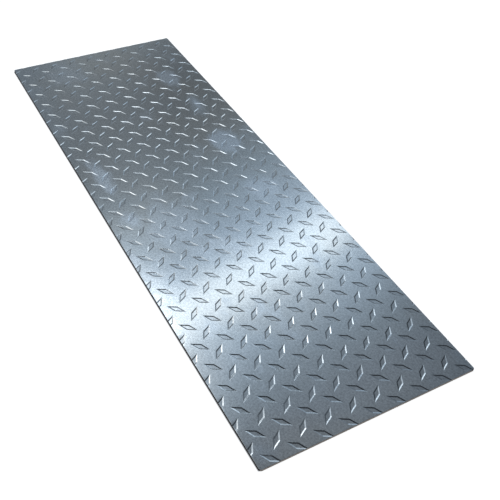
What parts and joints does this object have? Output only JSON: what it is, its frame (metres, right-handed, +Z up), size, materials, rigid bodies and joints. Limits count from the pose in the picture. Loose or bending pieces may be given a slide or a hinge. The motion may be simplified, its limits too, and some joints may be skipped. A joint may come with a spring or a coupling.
{
  "type": "aluminium checker plate",
  "caption": "Flat rectangular sheet of rolled aluminium with shallow lozenges in two crossed directions rolled into its upper face, used as a floor, step, wall panel or cover.",
  "frame": {"origin": "middle of the plate's underside, on the surface that it lies on", "axes": "+X along the plate's length, +Y across its width, +Z up out of the tread side"},
  "size_m": [0.9144, 0.3048, 0.0032],
  "materials": {
    "rolled_aluminium": "mill rolled, semi-bright, with faint lengthwise grain and handling smudges"
  },
  "bodies": {
    "root": {"tread_plate": "rolled_aluminium"}
  },
  "joints": []
}
